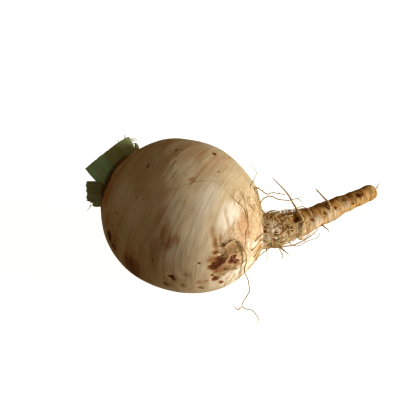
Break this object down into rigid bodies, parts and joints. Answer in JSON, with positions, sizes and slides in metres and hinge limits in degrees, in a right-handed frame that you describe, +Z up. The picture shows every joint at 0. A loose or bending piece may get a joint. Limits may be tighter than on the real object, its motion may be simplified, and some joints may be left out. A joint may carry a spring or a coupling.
{
  "type": "turnip",
  "caption": "Harvested turnip lying on its side: a round bulb with a bent tapering taproot, cut leaf stalk stubs on the crown and fine side roots.",
  "frame": {"origin": "middle of the small flat spot under the bulb that the turnip rests on", "axes": "+X runs from the crown towards the tip of the taproot, +Y away from the near side, +Z up"},
  "size_m": [0.1962, 0.1162, 0.0976],
  "materials": {
    "root_skin": "dry waxy skin with brown stains",
    "stalk_yellow_green": "satin plant skin",
    "stalk_blue_green": "waxy plant skin",
    "stalk_grey_green": "waxy plant skin",
    "stalk_young": "satin plant skin",
    "side_root": "dry fibrous root"
  },
  "bodies": {
    "root": {"curled_hair": "side_root", "hair_down_shoulder": "side_root", "hair_over_bulb": "side_root", "leaf_stalk_1": "stalk_yellow_green", "leaf_stalk_2": "stalk_blue_green", "leaf_stalk_3": "stalk_grey_green", "leaf_stalk_4": "stalk_yellow_green", "leaf_stalk_5": "stalk_grey_green", "leaf_stalk_6": "stalk_blue_green", "leaf_stalk_7": "stalk_yellow_green", "neck_root_1": "side_root", "neck_root_2": "side_root", "neck_root_3": "side_root", "neck_root_4": "side_root", "neck_root_5": "side_root", "neck_root_6": "side_root", "neck_root_7": "side_root", "short_stub_root": "side_root", "stiff_root": "side_root", "trailing_root": "side_root", "trailing_root_fork": "side_root", "turnip_root": "root_skin", "under_root_1": "side_root", "under_root_2": "side_root", "under_root_3": "side_root", "under_root_4": "side_root", "under_root_5": "side_root", "under_root_6": "side_root", "wavy_root_1": "side_root", "wavy_root_2": "side_root", "young_stalk_1": "stalk_young", "young_stalk_2": "stalk_young", "young_stalk_3": "stalk_young"}
  },
  "joints": []
}
